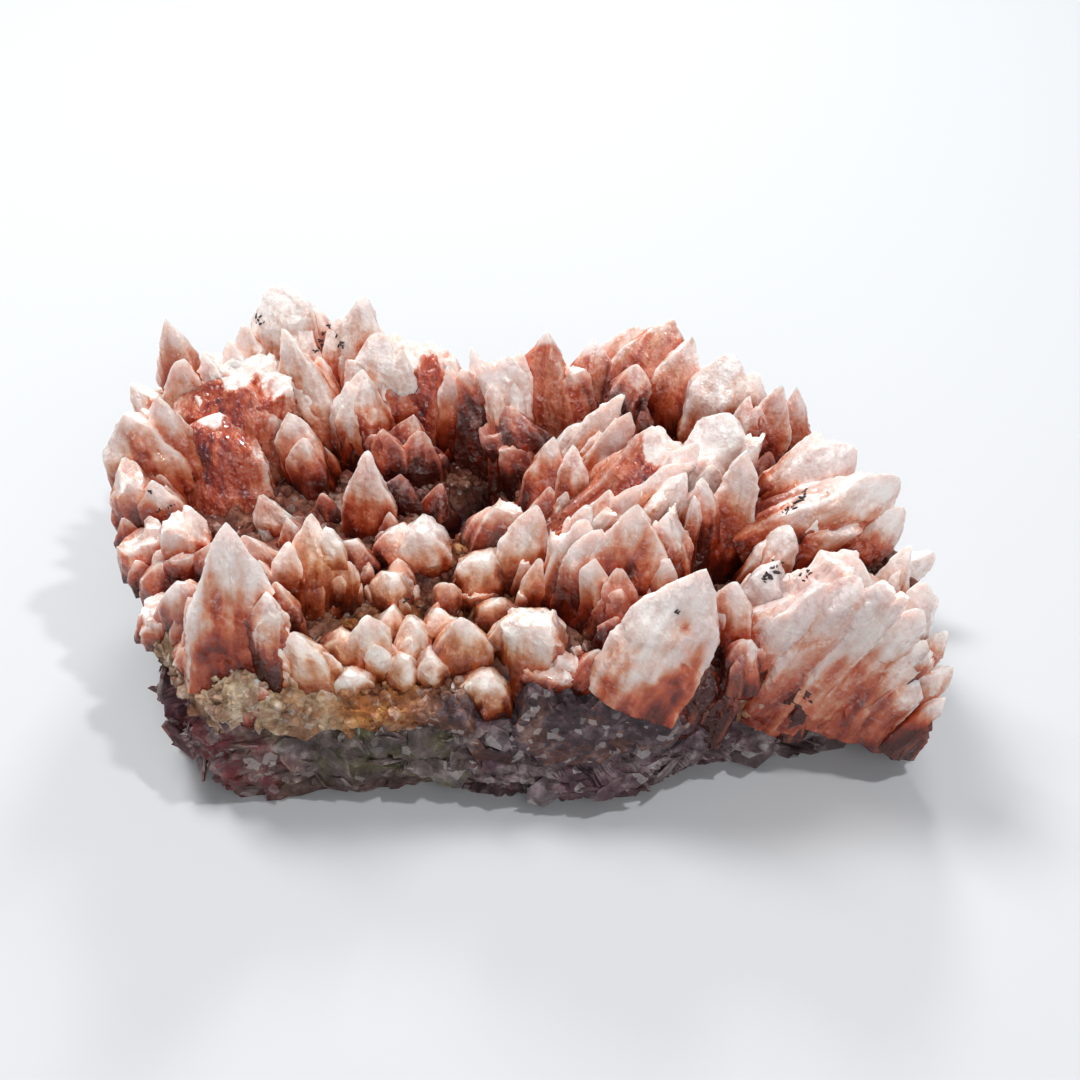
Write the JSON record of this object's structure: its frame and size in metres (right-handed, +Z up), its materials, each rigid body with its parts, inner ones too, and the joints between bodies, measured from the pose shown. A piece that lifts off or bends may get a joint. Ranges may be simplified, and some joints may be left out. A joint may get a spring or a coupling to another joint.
{
  "type": "dogtooth calcite cluster",
  "caption": "Hand-size mineral specimen: pink and red dogtooth calcite crystals crowded on a slab of broken matrix rock with a flat underside.",
  "frame": {"origin": "middle of the object's box, on the flat cut under the matrix", "axes": "+X to the right along the long side, seen from the front; -Y towards the viewer; +Z up, along the crystals"},
  "size_m": [0.1208, 0.078, 0.0495],
  "materials": {
    "matrix": "rough broken rock, grey, violet and olive",
    "calcite": "waxy, white tips over pink, salmon and brick red"
  },
  "bodies": {
    "root": {"matrix": "matrix", "crystals": "calcite"}
  },
  "joints": []
}
